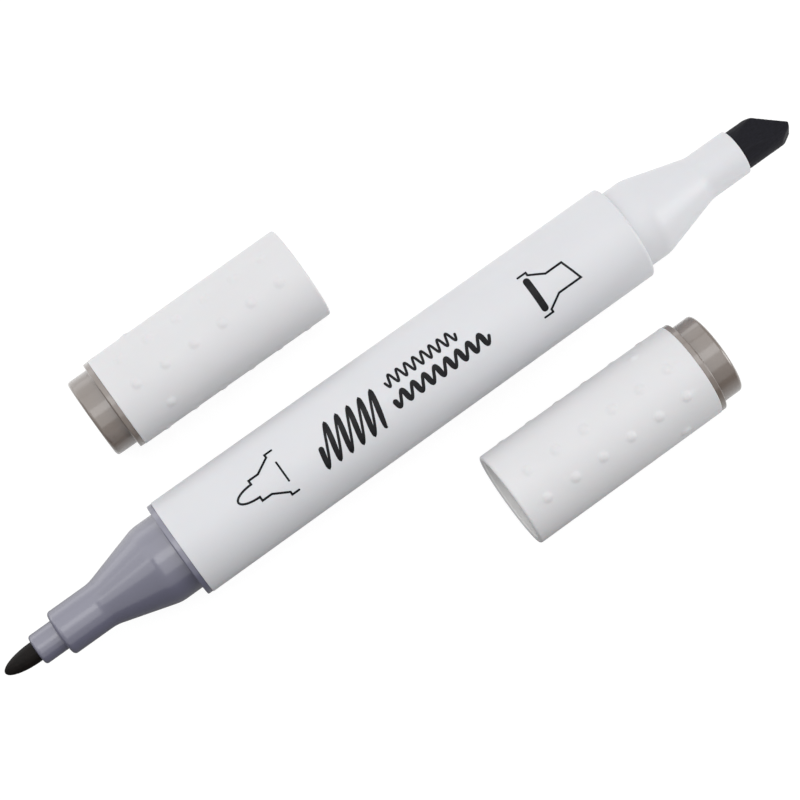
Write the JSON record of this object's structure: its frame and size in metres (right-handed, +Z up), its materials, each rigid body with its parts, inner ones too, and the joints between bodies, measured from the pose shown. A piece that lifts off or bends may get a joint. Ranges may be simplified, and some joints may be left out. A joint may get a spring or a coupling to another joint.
{
  "type": "twin-tip felt marker",
  "caption": "Twin-tip art marker with a fine bullet nib and a broad chisel nib, lying uncapped between its own caps.",
  "frame": {"origin": "on the surface that the marker lies on, under the middle of the row of marker and two caps", "axes": "+X along the marker towards the broad tip, +Y towards the fine cap, +Z up"},
  "size_m": [0.1406, 0.0634, 0.0158],
  "materials": {
    "white_body": "satin moulded polypropylene",
    "white_cap": "satin moulded polypropylene",
    "grey_section": "glossy moulded polypropylene",
    "taupe_plug": "glossy moulded polypropylene",
    "felt": "bonded polyester fibre soaked with ink",
    "reservoir_fibre": "fibre bundle soaked with ink",
    "reservoir_film": "clear film",
    "milky_seal": "milky soft polyethylene"
  },
  "bodies": {
    "marker": {"barrel": "white_body", "fine_front_section": "grey_section", "reservoir_core": "reservoir_fibre", "reservoir_wrap": "reservoir_film"},
    "fine_nib": {"fine_nib": "felt"},
    "broad_nib": {"broad_nib": "felt"},
    "fine_cap": {"fine_cap_shell": "white_cap", "fine_cap_end_plug": "taupe_plug", "fine_cap_inner_seal": "milky_seal"},
    "broad_cap": {"broad_cap_shell": "white_cap", "broad_cap_end_plug": "taupe_plug", "broad_cap_inner_seal": "milky_seal"}
  },
  "joints": [
    {"name": "fine_cap_slide", "type": "slide", "parent": "marker", "child": "fine_cap", "axis": [-0.9837, -0.1797, 0.002], "range_m": [0, 0.13825]},
    {"name": "broad_cap_slide", "type": "slide", "parent": "marker", "child": "broad_cap", "axis": [0.9857, 0.1685, 0.002], "range_m": [0, 0.13797]},
    {"name": "fine_nib_pull", "type": "slide", "parent": "marker", "child": "fine_nib", "axis": [-1, 0, 0], "range_m": [0, 0.034]},
    {"name": "broad_nib_pull", "type": "slide", "parent": "marker", "child": "broad_nib", "axis": [1, 0, 0], "range_m": [0, 0.03]}
  ]
}
